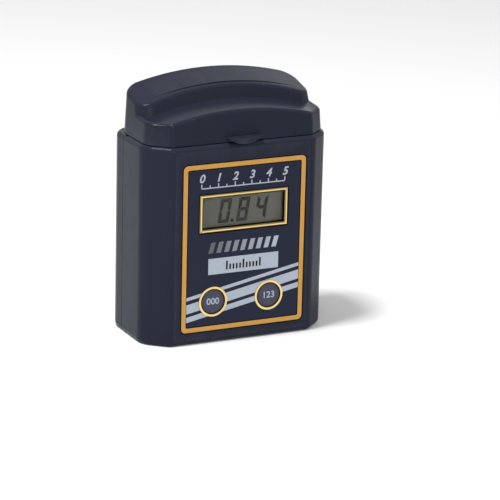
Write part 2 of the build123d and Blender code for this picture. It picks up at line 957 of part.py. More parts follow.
def screw_inserts():
    """Brass sleeves set just below the posts' ends."""
    start = seam - insert_length
    inserts = []
    for x, z in screw_spots:
        sleeve = rod_y(insert_radius, x, z, start, seam - insert_set)
        inserts.append(sleeve - rod_y(screw_radius, x, z, start - over, seam + over))
    return Compound(children=inserts)


nodes = {
    "front_shell": front_shell,
    "back_shell": back_shell,
    "case_seal": case_seal,
    "top_deck": top_deck,
    "deck_seal": deck_seal,
    "deck_screws": deck_screws,
    "overlay": overlay,
    "window_bezel": window_bezel,
    "display_window": display_window,
    "key_rings": key_rings,
    "lcd_glass": lcd_glass,
    "lcd_holder": lcd_holder,
    "zebra_strips": zebra_strips,
    "main_board": main_board,
    "board_chips": board_chips,
    "board_screws": board_screws,
    "cell_holder": cell_holder,
    "cell_pad": cell_pad,
    "led": led,
    "led_board": led_board,
    "optical_filter": optical_filter,
    "detector": detector,
    "detector_board": detector_board,
    "battery": battery,
    "battery_terminals": battery_terminals,
    "battery_snap": battery_snap,
    "battery_tray": battery_tray,
    "case_screws": case_screws,
    "screw_inserts": screw_inserts,
    "hinge_pin": hinge_pin,
    "hood": hood,
    "hood_pad": hood_pad,
    "battery_door": battery_door,
    "door_pad": door_pad,
}

os.makedirs("parts", exist_ok=True)
for name, make in nodes.items():
    save(make(), name)
for name, x in key_xs.items():
    save(button(x), name + "_button")
    save(plunger(x), name + "_plunger")
    save(switch_body(x), name + "_switch")
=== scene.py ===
import math

import bpy
from mathutils import Matrix, Vector


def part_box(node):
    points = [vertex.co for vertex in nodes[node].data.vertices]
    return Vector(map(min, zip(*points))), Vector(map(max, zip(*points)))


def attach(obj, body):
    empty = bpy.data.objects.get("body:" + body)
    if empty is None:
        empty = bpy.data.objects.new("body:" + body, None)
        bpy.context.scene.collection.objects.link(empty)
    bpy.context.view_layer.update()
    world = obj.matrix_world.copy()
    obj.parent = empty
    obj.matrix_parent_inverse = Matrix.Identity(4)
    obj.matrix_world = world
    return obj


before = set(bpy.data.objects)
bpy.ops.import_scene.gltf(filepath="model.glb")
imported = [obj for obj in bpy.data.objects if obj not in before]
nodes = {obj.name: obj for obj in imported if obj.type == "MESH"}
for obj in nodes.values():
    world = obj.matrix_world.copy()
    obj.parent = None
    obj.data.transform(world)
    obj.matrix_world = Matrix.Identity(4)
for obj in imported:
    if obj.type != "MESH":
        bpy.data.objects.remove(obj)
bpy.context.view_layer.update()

mm = 0.001


# View. The instrument is seen from above and from its left, through a long lens that stands
# about a metre away, so its upright edges stay nearly parallel.
eye = Vector((-0.4587, -0.9678, 0.3526))
right_of_view = Vector((0.90155, -0.43204, 0.02349))
top_of_view = Vector((0.10375, 0.26857, 0.95765))
lens_mm = 199.6
sensor_mm = 36

camera_data = bpy.data.cameras.new("view")
camera_data.lens = lens_mm
camera_data.sensor_width = sensor_mm
camera = bpy.data.objects.new("view", camera_data)
bpy.context.scene.collection.objects.link(camera)
towards_eye = right_of_view.cross(top_of_view).normalized()
turn = Matrix((right_of_view, top_of_view, towards_eye)).transposed()
camera.matrix_world = Matrix.Translation(eye) @ turn.to_4x4()
bpy.context.scene.camera = camera
bpy.context.scene.view_settings.view_transform = "Standard"


# Studio. A pale table top under the instrument and a white room around it. A small softbox hangs
# high on the left, a weak one stands on the right and a wide one in front.
def new_material(name):
    """A material with an empty Principled shader, and its node tree."""
    material = bpy.data.materials.new(name)
    material.use_nodes = True
    tree = material.node_tree
    return material, tree, tree.nodes["Principled BSDF"]


def softbox(name, place, width, depth, power):
    """A rectangular area light that faces the instrument."""
    data = bpy.data.lights.new(name, "AREA")
    data.shape = "RECTANGLE"
    data.size = width
    data.size_y = depth
    data.energy = power
    lamp = bpy.data.objects.new(name, data)
    bpy.context.scene.collection.objects.link(lamp)
    facing = (light_target - Vector(place)).to_track_quat("-Z", "Y")
    lamp.matrix_world = Matrix.Translation(place) @ facing.to_matrix().to_4x4()


light_target = Vector((0, 0, 0.06))
softbox("key_softbox", place=(-0.38, -0.05, 1.15), width=0.25, depth=0.25, power=14.0)
softbox("side_softbox", place=(1.0, -0.5, 0.5), width=0.6, depth=0.8, power=2.0)
softbox("front_softbox", place=(-0.3, -1.2, 0.6), width=0.9, depth=0.6, power=4.5)

table_size = 6.0
table_middle = (0, 1.0, 0)
table_tone = (0.84, 0.84, 0.84, 1)
table_roughness = 0.8
table_gloss = 0.2
bpy.ops.mesh.primitive_plane_add(size=table_size, location=table_middle)
table = bpy.context.object
table.name = "table_top"
table.data.transform(table.matrix_world)
table.matrix_world = Matrix.Identity(4)
table_material, _, table_shader = new_material("table_top")
table_shader.inputs["Base Color"].default_value = table_tone
table_shader.inputs["Roughness"].default_value = table_roughness
table_shader.inputs["Specular IOR Level"].default_value = table_gloss
table.data.materials.append(table_material)

room_white = 1.0
room_light = 0.5
world = bpy.data.worlds.new("white_room")
bpy.context.scene.world = world
world.use_nodes = True
sky = world.node_tree
background = sky.nodes["Background"]
background.inputs["Color"].default_value = (1, 1, 1, 1)
paths = sky.nodes.new("ShaderNodeLightPath")
seen = sky.nodes.new("ShaderNodeMath")
seen.operation = "MAXIMUM"
seen_through = sky.nodes.new("ShaderNodeMath")
seen_through.operation = "MAXIMUM"
brightness = sky.nodes.new("ShaderNodeMapRange")
brightness.inputs["To Min"].default_value = room_light
brightness.inputs["To Max"].default_value = room_white
sky.links.new(paths.outputs["Is Camera Ray"], seen.inputs[0])
sky.links.new(paths.outputs["Is Glossy Ray"], seen.inputs[1])
sky.links.new(seen.outputs[0], seen_through.inputs[0])
sky.links.new(paths.outputs["Is Transmission Ray"], seen_through.inputs[1])
sky.links.new(seen_through.outputs[0], brightness.inputs["Value"])
sky.links.new(brightness.outputs["Result"], background.inputs["Strength"])


# Casing: two injection-moulded halves and the battery door, in dark blue-grey ABS with the fine
# satin texture of a spark-eroded mould. Handled edges are rubbed a little paler.
def moulded_grain():
    """Fine mould texture: a height for the bump, and a slow drift for colour and gloss."""
    group = bpy.data.node_groups.new("moulded_grain", "ShaderNodeTree")
    face = group.interface
    face.new_socket("Grain Size", in_out="INPUT", socket_type="NodeSocketFloat")
    face.new_socket("Height", in_out="OUTPUT", socket_type="NodeSocketFloat")
    face.new_socket("Drift", in_out="OUTPUT", socket_type="NodeSocketFloat")
    entry = group.nodes.new("NodeGroupInput")
    leave = group.nodes.new("NodeGroupOutput")
    place = group.nodes.new("ShaderNodeTexCoord")
    fine = group.nodes.new("ShaderNodeTexNoise")
    fine.inputs["Detail"].default_value = 3
    pits = group.nodes.new("ShaderNodeTexVoronoi")
    finer = group.nodes.new("ShaderNodeMath")
    finer.operation = "MULTIPLY"
    finer.inputs[1].default_value = 0.6
    blend = group.nodes.new("ShaderNodeMath")
    slow = group.nodes.new("ShaderNodeTexNoise")
    slow.inputs["Scale"].default_value = 45
    slow.inputs["Detail"].default_value = 4
    for texture in (fine, pits, slow):
        group.links.new(place.outputs["Object"], texture.inputs["Vector"])
    group.links.new(entry.outputs["Grain Size"], fine.inputs["Scale"])
    group.links.new(entry.outputs["Grain Size"], finer.inputs[0])
    group.links.new(finer.outputs[0], pits.inputs["Scale"])
    group.links.new(fine.outputs["Fac"], blend.inputs[0])
    group.links.new(pits.outputs["Distance"], blend.inputs[1])
    group.links.new(blend.outputs[0], leave.inputs["Height"])
    group.links.new(slow.outputs["Fac"], leave.inputs["Drift"])
    return group


def soft_mottle():
    """A soft noise in Object coordinates, shared by inks, metals, glass and small mouldings."""
    group = bpy.data.node_groups.new("soft_mottle", "ShaderNodeTree")
    face = group.interface
    face.new_socket("Scale", in_out="INPUT", socket_type="NodeSocketFloat")
    face.new_socket("Detail", in_out="INPUT", socket_type="NodeSocketFloat")
    face.new_socket("Mask", in_out="OUTPUT", socket_type="NodeSocketFloat")
    entry = group.nodes.new("NodeGroupInput")
    leave = group.nodes.new("NodeGroupOutput")
    place = group.nodes.new("ShaderNodeTexCoord")
    noise = group.nodes.new("ShaderNodeTexNoise")
    group.links.new(place.outputs["Object"], noise.inputs["Vector"])
    group.links.new(entry.outputs["Scale"], noise.inputs["Scale"])
    group.links.new(entry.outputs["Detail"], noise.inputs["Detail"])
    group.links.new(noise.outputs["Fac"], leave.inputs["Mask"])
    return group


def edge_wear():
    """A mask that is 1 on sharp convex edges and broken up by a soft noise."""
    group = bpy.data.node_groups.new("edge_wear", "ShaderNodeTree")
    face = group.interface
    face.new_socket("Mask", in_out="OUTPUT", socket_type="NodeSocketFloat")
    leave = group.nodes.new("NodeGroupOutput")
    shape = group.nodes.new("ShaderNodeNewGeometry")
    sharp = group.nodes.new("ShaderNodeMapRange")
    sharp.inputs["From Min"].default_value = 0.52
    sharp.inputs["From Max"].default_value = 0.62
    place = group.nodes.new("ShaderNodeTexCoord")
    patches = group.nodes.new("ShaderNodeTexNoise")
    patches.inputs["Scale"].default_value = 220
    product = group.nodes.new("ShaderNodeMath")
    product.operation = "MULTIPLY"
    group.links.new(shape.outputs["Pointiness"], sharp.inputs["Value"])
    group.links.new(place.outputs["Object"], patches.inputs["Vector"])
    group.links.new(sharp.outputs["Result"], product.inputs[0])
    group.links.new(patches.outputs["Fac"], product.inputs[1])
    group.links.new(product.outputs[0], leave.inputs["Mask"])
    return group


grain_group = moulded_grain()
mottle_group = soft_mottle()
wear_group = edge_wear()


def blend_colours(tree, mask, first, second):
    """A colour that goes from the first to the second with a mask."""
    mix = tree.nodes.new("ShaderNodeMix")
    mix.data_type = "RGBA"
    mix.inputs["A"].default_value = first
    mix.inputs["B"].default_value = second
    tree.links.new(mask, mix.inputs["Factor"])
    return mix.outputs["Result"]


def remap(tree, value, low_out, high_out):
    """A value from 0 to 1 spread over another range."""
    span = tree.nodes.new("ShaderNodeMapRange")
    span.inputs["To Min"].default_value = low_out
    span.inputs["To Max"].default_value = high_out
    tree.links.new(value, span.inputs["Value"])
    return span.outputs["Result"]


def add_mottle(tree, scale, detail):
    """The mask of a soft mottle of a given scale."""
    mottle = tree.nodes.new("ShaderNodeGroup")
    mottle.node_tree = mottle_group
    mottle.inputs["Scale"].default_value = scale
    mottle.inputs["Detail"].default_value = detail
    return mottle.outputs["Mask"]


def bump(tree, height, shader, depth):
    """Small relief, of a depth in metres, on a shader's normal."""
    lift = tree.nodes.new("ShaderNodeBump")
    lift.inputs["Strength"].default_value = 1.0
    lift.inputs["Distance"].default_value = depth
    tree.links.new(height, lift.inputs["Height"])
    tree.links.new(lift.outputs["Normal"], shader.inputs["Normal"])


def plastic(name, dark, pale, worn, rough, grain_scale, grain_depth, gloss):
    """Moulded plastic: a grained surface whose colour drifts a little and pales on its edges."""
    rough_spread = 0.05
    material, tree, shader = new_material(name)
    grain = tree.nodes.new("ShaderNodeGroup")
    grain.node_tree = grain_group
    grain.inputs["Grain Size"].default_value = grain_scale
    wear = tree.nodes.new("ShaderNodeGroup")
    wear.node_tree = wear_group
    body = blend_colours(tree, grain.outputs["Drift"], dark, pale)
    rubbed = tree.nodes.new("ShaderNodeMix")
    rubbed.data_type = "RGBA"
    rubbed.inputs["B"].default_value = worn
    tree.links.new(wear.outputs["Mask"], rubbed.inputs["Factor"])
    tree.links.new(body, rubbed.inputs["A"])
    tree.links.new(rubbed.outputs["Result"], shader.inputs["Base Color"])
    patchy = remap(tree, grain.outputs["Drift"], rough + rough_spread, rough - rough_spread)
    tree.links.new(patchy, shader.inputs["Roughness"])
    bump(tree, grain.outputs["Height"], shader, grain_depth)
    shader.inputs["Specular IOR Level"].default_value = gloss
    return material


def dress(material, *names):
    """Gives CAD nodes a material."""
    for name in names:
        slots = nodes[name].data.materials
        slots.clear()
        slots.append(material)


casing_plastic = plastic(
    "casing_plastic",
    dark=(0.0138, 0.0165, 0.0285, 1),
    pale=(0.0185, 0.0215, 0.0355, 1),
    worn=(0.042, 0.046, 0.062, 1),
    rough=0.23,
    grain_scale=2600,
    grain_depth=0.00002,
    gloss=0.06,
)
dress(casing_plastic, "front_shell", "back_shell", "battery_door")


# Hood: the flip-up light cover, one thin moulding in the same plastic as the casing. Fingers
# have rubbed it a shade smoother.
hood_plastic = plastic(
    "hood_plastic",
    dark=(0.0138, 0.0165, 0.0275, 1),
    pale=(0.0185, 0.0215, 0.0345, 1),
    worn=(0.042, 0.046, 0.060, 1),
    rough=0.21,
    grain_scale=2600,
    grain_depth=0.000015,
    gloss=0.06,
)
dress(hood_plastic, "hood")


# Deck and light seals: a matt black plate round the well's mouth, with a rubber cord that the
# hood's lower edge closes on, and a rubber strip in the seam of the casing.
deck_plastic = plastic(
    "deck_plastic",
    dark=(0.012, 0.013, 0.016, 1),
    pale=(0.016, 0.017, 0.021, 1),
    worn=(0.030, 0.031, 0.036, 1),
    rough=0.6,
    grain_scale=2200,
    grain_depth=0.00004,
    gloss=0.3,
)
dress(deck_plastic, "top_deck")

seal_rubber = plastic(
    "seal_rubber",
    dark=(0.010, 0.010, 0.011, 1),
    pale=(0.016, 0.016, 0.017, 1),
    worn=(0.024, 0.024, 0.025, 1),
    rough=0.8,
    grain_scale=3000,
    grain_depth=0.00003,
    gloss=0.2,
)
dress(seal_rubber, "case_seal", "deck_seal")


# Foam pads: open-cell discs and a block that press on the vial's cap, its base and the battery.
foam_material, foam_tree, foam_shader = new_material("foam")
foam_place = foam_tree.nodes.new("ShaderNodeTexCoord")
foam_cells = foam_tree.nodes.new("ShaderNodeTexVoronoi")
foam_cells.inputs["Scale"].default_value = 1600
foam_tree.links.new(foam_place.outputs["Object"], foam_cells.inputs["Vector"])
foam_colour = blend_colours(
    foam_tree, foam_cells.outputs["Distance"], (0.006, 0.006, 0.007, 1), (0.035, 0.035, 0.038, 1)
)
foam_tree.links.new(foam_colour, foam_shader.inputs["Base Color"])
foam_shader.inputs["Roughness"].default_value = 0.95
bump(foam_tree, foam_cells.outputs["Distance"], foam_shader, 0.0003)
dress(foam_material, "hood_pad", "cell_pad", "door_pad")


# Label: a reverse-printed film, navy with a satin face, stuck into its recess. The gold border,
# the pale stripes and the scales are printed layers, each a few hundredths of a millimetre thick.
label_low, label_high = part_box("overlay")
print_thickness = 0.03 * mm


def rounded_outline(x0, x1, z0, z1, radius, steps=8):
    """The corner points of a rectangle with round corners."""
    points = []
    corners = [(x1, z1, 0), (x0, z1, 90), (x0, z0, 180), (x1, z0, 270)]
    for x, z, start in corners:
        centre_x = x - radius if x == x1 else x + radius
        centre_z = z - radius if z == z1 else z + radius
        for step in range(steps + 1):
            angle = math.radians(start + 90 * step / steps)
            points.append((centre_x + radius * math.cos(angle), centre_z + radius * math.sin(angle)))
    return points


def mesh_as_shown(thing):
    """A mesh of an object as its curve settings or modifiers shape it."""
    bpy.context.view_layer.update()
    return bpy.data.meshes.new_from_object(thing.evaluated_get(bpy.context.evaluated_depsgraph_get()))


def stand_up(data, name, front_y, thickness):
    """Turns a flat curve into a mesh that stands in the XZ plane with its face at front_y."""
    flat = bpy.data.objects.new(name + "_flat", data)
    bpy.context.scene.collection.objects.link(flat)
    mesh = mesh_as_shown(flat)
    bpy.data.objects.remove(flat)
    mesh.name = name
    upright = Matrix.Rotation(math.radians(90), 4, "X")
    mesh.transform(Matrix.Translation((0, front_y + thickness / 2, 0)) @ upright)
    piece = bpy.data.objects.new(name, mesh)
    bpy.context.scene.collection.objects.link(piece)
    return piece


def flat_print(name, outlines, front_y, thickness):
    """A thin plate from closed outlines: one inside another is a hole."""
    data = bpy.data.curves.new(name, "CURVE")
    data.dimensions = "2D"
    data.fill_mode = "BOTH"
    data.extrude = thickness / 2
    for outline in outlines:
        spline = data.splines.new("POLY")
        spline.points.add(len(outline) - 1)
        for point, (x, z) in zip(spline.points, outline):
            point.co = (x, z, 0, 1)
        spline.use_cyclic_u = True
    return stand_up(data, name, front_y, thickness)


def number_print(name, words, x, z, size, front_y, thickness, slant=0.0, weight=0.0):
    """Printed digits, centred on a place."""
    data = bpy.data.curves.new(name, "FONT")
    data.body = words
    data.size = size
    data.shear = slant
    data.offset = weight
    data.extrude = thickness / 2
    data.align_x = "CENTER"
    data.align_y = "CENTER"
    piece = stand_up(data, name, front_y, thickness)
    piece.data.transform(Matrix.Translation((x, 0, z)))
    return piece


def ink(name, colour, rough=0.4, gloss=0.4):
    """Screen ink on film: even, with a faint mottle."""
    colour_spread = 0.1
    rough_spread = 0.06
    material, tree, shader = new_material(name)
    mottle = add_mottle(tree, scale=900, detail=3)
    darker = tuple(c * (1 - colour_spread) for c in colour[:3]) + (1,)
    lighter = tuple(c * (1 + colour_spread) for c in colour[:3]) + (1,)
    tree.links.new(blend_colours(tree, mottle, darker, lighter), shader.inputs["Base Color"])
    patchy = remap(tree, mottle, rough + rough_spread, rough - rough_spread)
    tree.links.new(patchy, shader.inputs["Roughness"])
    shader.inputs["Specular IOR Level"].default_value = gloss
    return material


def finish_print(piece, material, body="case"):
    """Inks a printed layer and fixes it to a body."""
    piece.data.materials.clear()
    piece.data.materials.append(material)
    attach(piece, body)


navy_ink = ink("navy_ink", (0.008, 0.011, 0.028, 1), rough=0.36, gloss=0.16)
gold_ink = ink("gold_ink", (0.50, 0.25, 0.041, 1), rough=0.42)
# Dark ink for printed outlines and marks, also used for the painted shadow round the display frame.
outline_and_shadow_ink = ink("outline_and_shadow_ink", (0.004, 0.002, 0.001, 1), gloss=0.05)
pale_ink = ink("pale_ink", (0.345, 0.385, 0.455, 1), rough=0.45)
dress(navy_ink, "overlay")

border_width = 1.85 * mm
border_corner = 2.3 * mm
border_inner_corner = 0.7 * mm
outline_width = 0.42 * mm
outline_inner_corner = 0.5 * mm
edge_gap = 0.05 * mm
face_y = label_low.y


def label_frame(inset, radius):
    """An outline that follows the label's edge."""
    return rounded_outline(
        label_low.x + inset, label_high.x - inset, label_low.z + inset, label_high.z - inset, radius
    )


outline_ring = flat_print(
    "border_outline",
    [
        label_frame(edge_gap, border_corner),
        label_frame(border_width + 2 * outline_width, outline_inner_corner),
    ],
    face_y - print_thickness / 2,
    print_thickness / 2,
)
finish_print(outline_ring, outline_and_shadow_ink)
border = flat_print(
    "gold_border",
    [
        label_frame(outline_width, border_corner - outline_width),
        label_frame(outline_width + border_width, border_inner_corner),
    ],
    face_y - print_thickness,
    print_thickness,
)
finish_print(border, gold_ink)


# Scale row: a graduated line with plain numbers, screen-printed in pale ink in the band above the
# display.
row_low = label_low.z + 58.9 * mm
row_start = label_low.x + 8.2 * mm
row_end = label_high.x - 9.6 * mm
row_line = 0.45 * mm
tick_height = 1.5 * mm
half_tick_height = 0.9 * mm
scale_steps = 5
row_number_size = 4.6 * mm
row_number_lift = 4.1 * mm
row_number_slant = 0.25
row_number_weight = 0.12 * mm


def bar_outline(x, z, width, height, lean=0.0):
    """The corner points of an upright bar that stands on a place, leaning to the right."""
    half = width / 2
    return [(x - half, z), (x + half, z), (x + half + lean, z + height), (x - half + lean, z + height)]


row_outlines = [bar_outline((row_start + row_end) / 2, row_low, row_end - row_start, row_line)]
row_pitch = (row_end - row_start) / scale_steps
for step in range(2 * scale_steps + 1):
    tall = step % 2 == 0
    place_x = row_start + row_pitch * step / 2
    height = tick_height if tall else half_tick_height
    row_outlines.append(bar_outline(place_x, row_low + row_line, row_line, height))
for index, outline in enumerate(row_outlines):
    line = flat_print(f"scale_line_{index}", [outline], face_y - print_thickness, print_thickness)
    finish_print(line, pale_ink)
for step in range(scale_steps + 1):
    digit = number_print(
        f"scale_number_{step}",
        str(step),
        row_start + row_pitch * step,
        row_low + row_number_lift,
        row_number_size,
        face_y - print_thickness,
        print_thickness,
        slant=row_number_slant,
        weight=row_number_weight,
    )
    finish_print(digit, pale_ink)


# Tone row: a run of leaning printed bars from faint to full below the display, as on a comparison
# chart. Each has its own ink, between a dark grey and the pale ink.
tone_count = 9
tone_low = label_low.z + 32.3 * mm
tone_height = 4.4 * mm
tone_width = 2.0 * mm
tone_lean = 1.2 * mm
tone_start = label_low.x + 12.6 * mm
tone_pitch = 3.45 * mm
tone_faint = 0.05
tone_full = (0.345, 0.385, 0.455)
for step in range(tone_count):
    share = (step + 1) / tone_count
    colour = tuple(tone_faint + (c - tone_faint) * share for c in tone_full) + (1,)
    outline = bar_outline(tone_start + step * tone_pitch, tone_low, tone_width, tone_height, tone_lean)
    tone_ink = ink(f"tone_ink_{step}", colour)
    tone_bar = flat_print(f"tone_bar_{step}", [outline], face_y - print_thickness, print_thickness)
    finish_print(tone_bar, tone_ink)


# Pale field: a plain printed box under the tone row, with a short dark scale over its middle, in a
# second layer of ink.
field_low = label_low.z + 23.5 * mm
field_height = 6.6 * mm
field_left = label_low.x + 11.7 * mm
field_right = label_high.x - 11.6 * mm
field_middle = (field_left + field_right) / 2
field = flat_print(
    "pale_field",
    [bar_outline(field_middle, field_low, field_right - field_left, field_height)],
    face_y - print_thickness,
    print_thickness,
)
finish_print(field, pale_ink)

field_bars = 11
field_bars_per_tall = 5
field_bar_width = 0.7 * mm
field_bar_height = 2.2 * mm
field_tall_height = 3.6 * mm
field_bar_pitch = 1.45 * mm
field_bar_lift = 1.5 * mm
field_face = face_y - 2 * print_thickness
for step in range(field_bars):
    height = field_bar_height if step % field_bars_per_tall else field_tall_height
    x = field_middle + (step - (field_bars - 1) / 2) * field_bar_pitch
    outline = bar_outline(x, field_low + field_bar_lift, field_bar_width, height)
    mark = flat_print(f"field_bar_{step}", [outline], field_face, print_thickness)
    finish_print(mark, outline_and_shadow_ink)


# Stripes: three straight pale bands rise to the right behind the keys, from border to border. They
# are cut round the keys, whose gilt rings cover the cut.
key_centres = []
for name in ("zero_button", "read_button"):
    key_low, key_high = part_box(name)
    key_centres.append(((key_low.x + key_high.x) / 2, (key_low.z + key_high.z) / 2))
key_hole = 5.7 * mm
cutter_depth = 4 * mm
stripe_end_gap = 0.2 * mm
inner_left = label_low.x + outline_width + border_width + stripe_end_gap
inner_right = label_high.x - outline_width - border_width - stripe_end_gap
stripe_rise = 9.5 * mm
stripe_lifts_and_widths = [(4.6 * mm, 2.2 * mm), (8.2 * mm, 3.8 * mm), (13.6 * mm, 1.4 * mm)]


def cut_round_keys(piece):
    """Takes the two key openings out of a printed piece."""
    for x, z in key_centres:
        bpy.ops.mesh.primitive_cylinder_add(
            vertices=96,
            radius=key_hole,
            depth=cutter_depth,
            location=(x, face_y, z),
            rotation=(math.pi / 2, 0, 0),
        )
        cutter = bpy.context.object
        knife = piece.modifiers.new("key_hole", "BOOLEAN")
        knife.operation = "DIFFERENCE"
        knife.object = cutter
        cut_mesh = mesh_as_shown(piece)
        piece.modifiers.remove(knife)
        piece.data = cut_mesh
        bpy.data.objects.remove(cutter)


for index, (lift, width) in enumerate(stripe_lifts_and_widths):
    left_z = label_low.z + lift
    outline = [
        (inner_left, left_z),
        (inner_right, left_z + stripe_rise),
        (inner_right, left_z + stripe_rise + width),
        (inner_left, left_z + width),
    ]
    stripe = flat_print(f"stripe_{index}", [outline], face_y - print_thickness, print_thickness)
    cut_round_keys(stripe)
    finish_print(stripe, pale_ink)


# Display frame and key rings: pressed brass with a gilt wash. Painted shade: faces turned away from
# the front, on the bevels, in the mitres and down the sides, are coloured dark brown, while the flat
# fronts keep the bright gilt, and a thin dark ring is painted on the label round the frame as its shadow.
gilt, gilt_tree, gilt_shader = new_material("gilt_metal")
gilt_grain = gilt_tree.nodes.new("ShaderNodeGroup")
gilt_grain.node_tree = grain_group
gilt_grain.inputs["Grain Size"].default_value = 3200
gilt_place = gilt_tree.nodes.new("ShaderNodeTexCoord")
gilt_facing = gilt_tree.nodes.new("ShaderNodeSeparateXYZ")
# Painted shade mask: 0 on faces that look straight to the front, 1 on bevels, mitres and sides.
gilt_turned_away_shade = gilt_tree.nodes.new("ShaderNodeMapRange")
gilt_turned_away_shade.inputs["From Min"].default_value = -0.95
gilt_turned_away_shade.inputs["From Max"].default_value = -0.6
gilt_tree.links.new(gilt_place.outputs["Normal"], gilt_facing.inputs["Vector"])
gilt_tree.links.new(gilt_facing.outputs["Y"], gilt_turned_away_shade.inputs["Value"])
gilt_drift_tone = blend_colours(
    gilt_tree, gilt_grain.outputs["Drift"], (0.62, 0.44, 0.15, 1), (0.86, 0.68, 0.32, 1)
)
# The dark brown is painted shade on the faces turned away from the front.
gilt_colour_with_painted_shade = gilt_tree.nodes.new("ShaderNodeMix")
gilt_colour_with_painted_shade.data_type = "RGBA"
gilt_colour_with_painted_shade.inputs["B"].default_value = (0.055, 0.035, 0.012, 1)
gilt_tree.links.new(gilt_turned_away_shade.outputs["Result"], gilt_colour_with_painted_shade.inputs["Factor"])
gilt_tree.links.new(gilt_drift_tone, gilt_colour_with_painted_shade.inputs["A"])
gilt_tree.links.new(gilt_colour_with_painted_shade.outputs["Result"], gilt_shader.inputs["Base Color"])
gilt_shader.inputs["Metallic"].default_value = 1.0
gilt_patchy = remap(gilt_tree, gilt_grain.outputs["Drift"], 0.34, 0.24)
gilt_tree.links.new(gilt_patchy, gilt_shader.inputs["Roughness"])
bump(gilt_tree, gilt_grain.outputs["Height"], gilt_shader, 0.00001)
dress(gilt, "window_bezel", "key_rings")

frame_low, frame_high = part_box("window_bezel")
# Painted shadow: a thin dark ring on the label round the raised frame stands in for the frame's shadow.
frame_shadow_width = 0.4 * mm
frame_painted_shadow = flat_print(
    "frame_shadow_ring",
    [
        rounded_outline(
            frame_low.x - frame_shadow_width,
            frame_high.x + frame_shadow_width,
            frame_low.z - frame_shadow_width,
            frame_high.z + frame_shadow_width,
            frame_shadow_width,
        ),
        rounded_outline(frame_low.x, frame_high.x, frame_low.z, frame_high.z, edge_gap),
    ],
    face_y - print_thickness / 2,
    print_thickness / 2,
)
finish_print(frame_painted_shadow, outline_and_shadow_ink)


# Display: a clear pane, coated against glare and printed black round its edge, over a grey-green
# liquid crystal cell, which shows a plain number in dark leaning segments.
pane_material, pane_tree, pane_shader = new_material("clear_pane")
pane_smears = add_mottle(pane_tree, scale=90, detail=2)
pane_tree.links.new(remap(pane_tree, pane_smears, 0.0, 0.03), pane_shader.inputs["Roughness"])
pane_shader.inputs["Base Color"].default_value = (0.93, 0.95, 0.92, 1)
pane_shader.inputs["Transmission Weight"].default_value = 1.0
pane_shader.inputs["IOR"].default_value = 1.2
dress(pane_material, "display_window")

cell_material, cell_tree, cell_shader = new_material("display_cell")
cell_cloud = add_mottle(cell_tree, scale=60, detail=2)
cell_colour = blend_colours(cell_tree, cell_cloud, (0.104, 0.099, 0.088, 1), (0.128, 0.122, 0.108, 1))
cell_tree.links.new(cell_colour, cell_shader.inputs["Base Color"])
cell_tree.links.new(remap(cell_tree, cell_cloud, 0.5, 0.4), cell_shader.inputs["Roughness"])
cell_shader.inputs["Specular IOR Level"].default_value = 0.12
dress(cell_material, "lcd_glass")

pane_low, pane_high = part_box("display_window")
frame_bar = 1.3 * mm
mask_width = 0.45 * mm


def pane_outline(inset):
    """The pane's outline, drawn in from its edges."""
    return rounded_outline(
        pane_low.x + inset, pane_high.x - inset, pane_low.z + inset, pane_high.z - inset, edge_gap
    )


pane_mask = flat_print(
    "pane_mask",
    [pane_outline(frame_bar + edge_gap), pane_outline(frame_bar + mask_width)],
    pane_low.y - print_thickness,
    print_thickness,
)
finish_print(pane_mask, outline_and_shadow_ink)

segment_ink = ink("segment_ink", (0.018, 0.017, 0.015, 1), rough=0.6, gloss=0.1)
cell_low, cell_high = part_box("lcd_glass")
digit_height = 9.8 * mm
digit_width = 4.8 * mm
digit_pitch = 8.0 * mm
segment_width = 1.45 * mm
segment_gap = 0.1 * mm
digit_lean = math.tan(math.radians(9))
first_digit_lead = 10.6 * mm
first_digit_x = (cell_low.x + cell_high.x) / 2 - first_digit_lead
digit_base_z = (cell_low.z + cell_high.z) / 2 - digit_height / 2
segments_of = {"0": "abcdef", "8": "abcdefg", "4": "bcfg"}


def digit_outlines(digit, x, z):
    """The lit segments of one digit, mitred where they meet and leaning to the right."""
    wide, thick, gap = digit_width, segment_width, segment_gap
    middle = digit_height / 2
    upright = [
        (0, gap),
        (thick / 2, gap),
        (thick, thick / 2 + gap),
        (thick, middle - thick - gap),
        (0, middle - gap),
    ]
    level = [
        (gap, middle),
        (wide - gap, middle),
        (wide - thick - gap, middle - thick),
        (thick + gap, middle - thick),
    ]
    crossbar = [
        (thick / 2 + gap, 0),
        (thick + gap, thick / 2),
        (wide - thick - gap, thick / 2),
        (wide - thick / 2 - gap, 0),
        (wide - thick - gap, -thick / 2),
        (thick + gap, -thick / 2),
    ]
    shapes = {
        "a": level,
        "b": [(wide - px, pz) for px, pz in upright],
        "c": [(wide - px, -pz) for px, pz in upright],
        "d": [(px, -pz) for px, pz in level],
        "e": [(px, -pz) for px, pz in upright],
        "f": upright,
        "g": crossbar,
    }
    return [
        [(x + px + (middle + pz) * digit_lean, z + middle + pz) for px, pz in shapes[letter]]
        for letter in segments_of[digit]
    ]


for index, digit in enumerate("084"):
    outlines = digit_outlines(digit, first_digit_x + index * digit_pitch, digit_base_z)
    shown = flat_print(f"digit_{index}", outlines, cell_low.y - print_thickness, print_thickness)
    finish_print(shown, segment_ink)

point_radius = 0.75 * mm
point_lead = 1.6 * mm
point_steps = 24
point_turns = [2 * math.pi * step / point_steps for step in range(point_steps)]
point_x = first_digit_x + digit_pitch - point_lead
point_z = digit_base_z + point_radius
point_outline = [
    (point_x + point_radius * math.cos(turn), point_z + point_radius * math.sin(turn)) for turn in point_turns
]
point = flat_print("decimal_point", [point_outline], cell_low.y - print_thickness, print_thickness)
finish_print(point, segment_ink)


